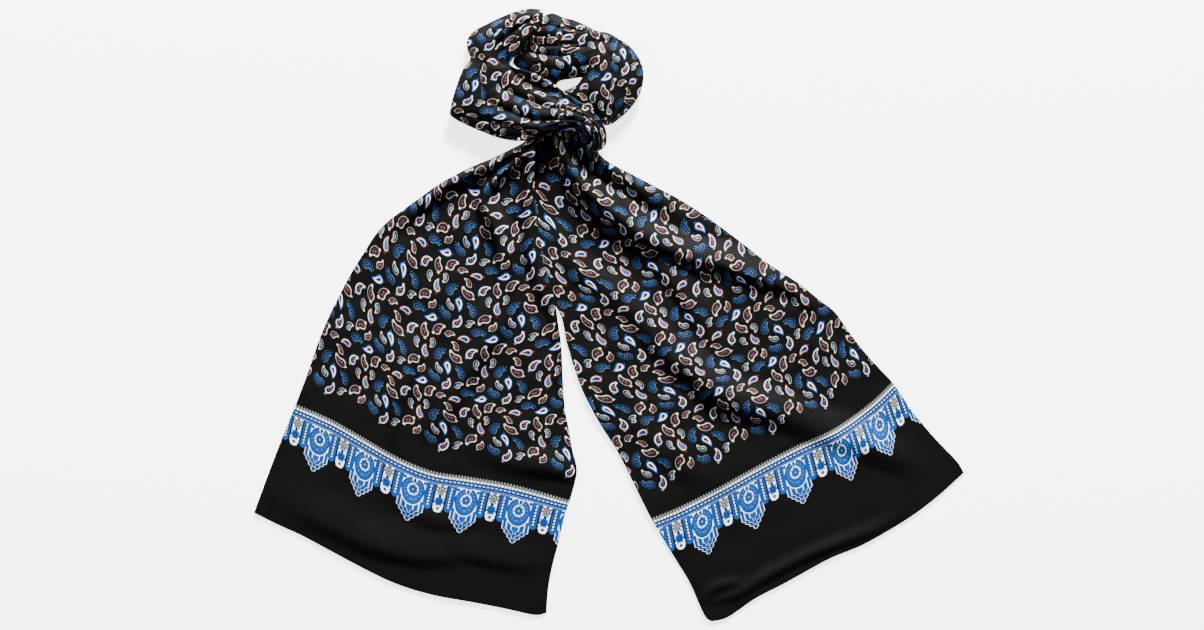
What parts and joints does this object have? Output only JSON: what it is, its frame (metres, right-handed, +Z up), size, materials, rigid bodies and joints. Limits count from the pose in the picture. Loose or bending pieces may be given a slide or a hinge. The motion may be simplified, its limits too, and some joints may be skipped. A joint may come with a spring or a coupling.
{
  "type": "foulard scarf",
  "caption": "Double-layer printed silk foulard lying flat: folded in half, looped and knotted into a flattened neck ring, with both wide tails spread below the knot.",
  "frame": {"origin": "centre of the box in plan, on the surface that the scarf lies on", "axes": "+Z up from the surface, +Y from the tails towards the neck ring, +X from the left tail to the right one"},
  "size_m": [0.653, 0.563, 0.031],
  "materials": {
    "printed_silk": "satin silk, black ground with a blue, cream and red paisley print"
  },
  "bodies": {
    "root": {"tail_left": "printed_silk", "tail_right": "printed_silk", "neck_front": "printed_silk", "neck_right": "printed_silk", "neck_back": "printed_silk"}
  },
  "joints": []
}
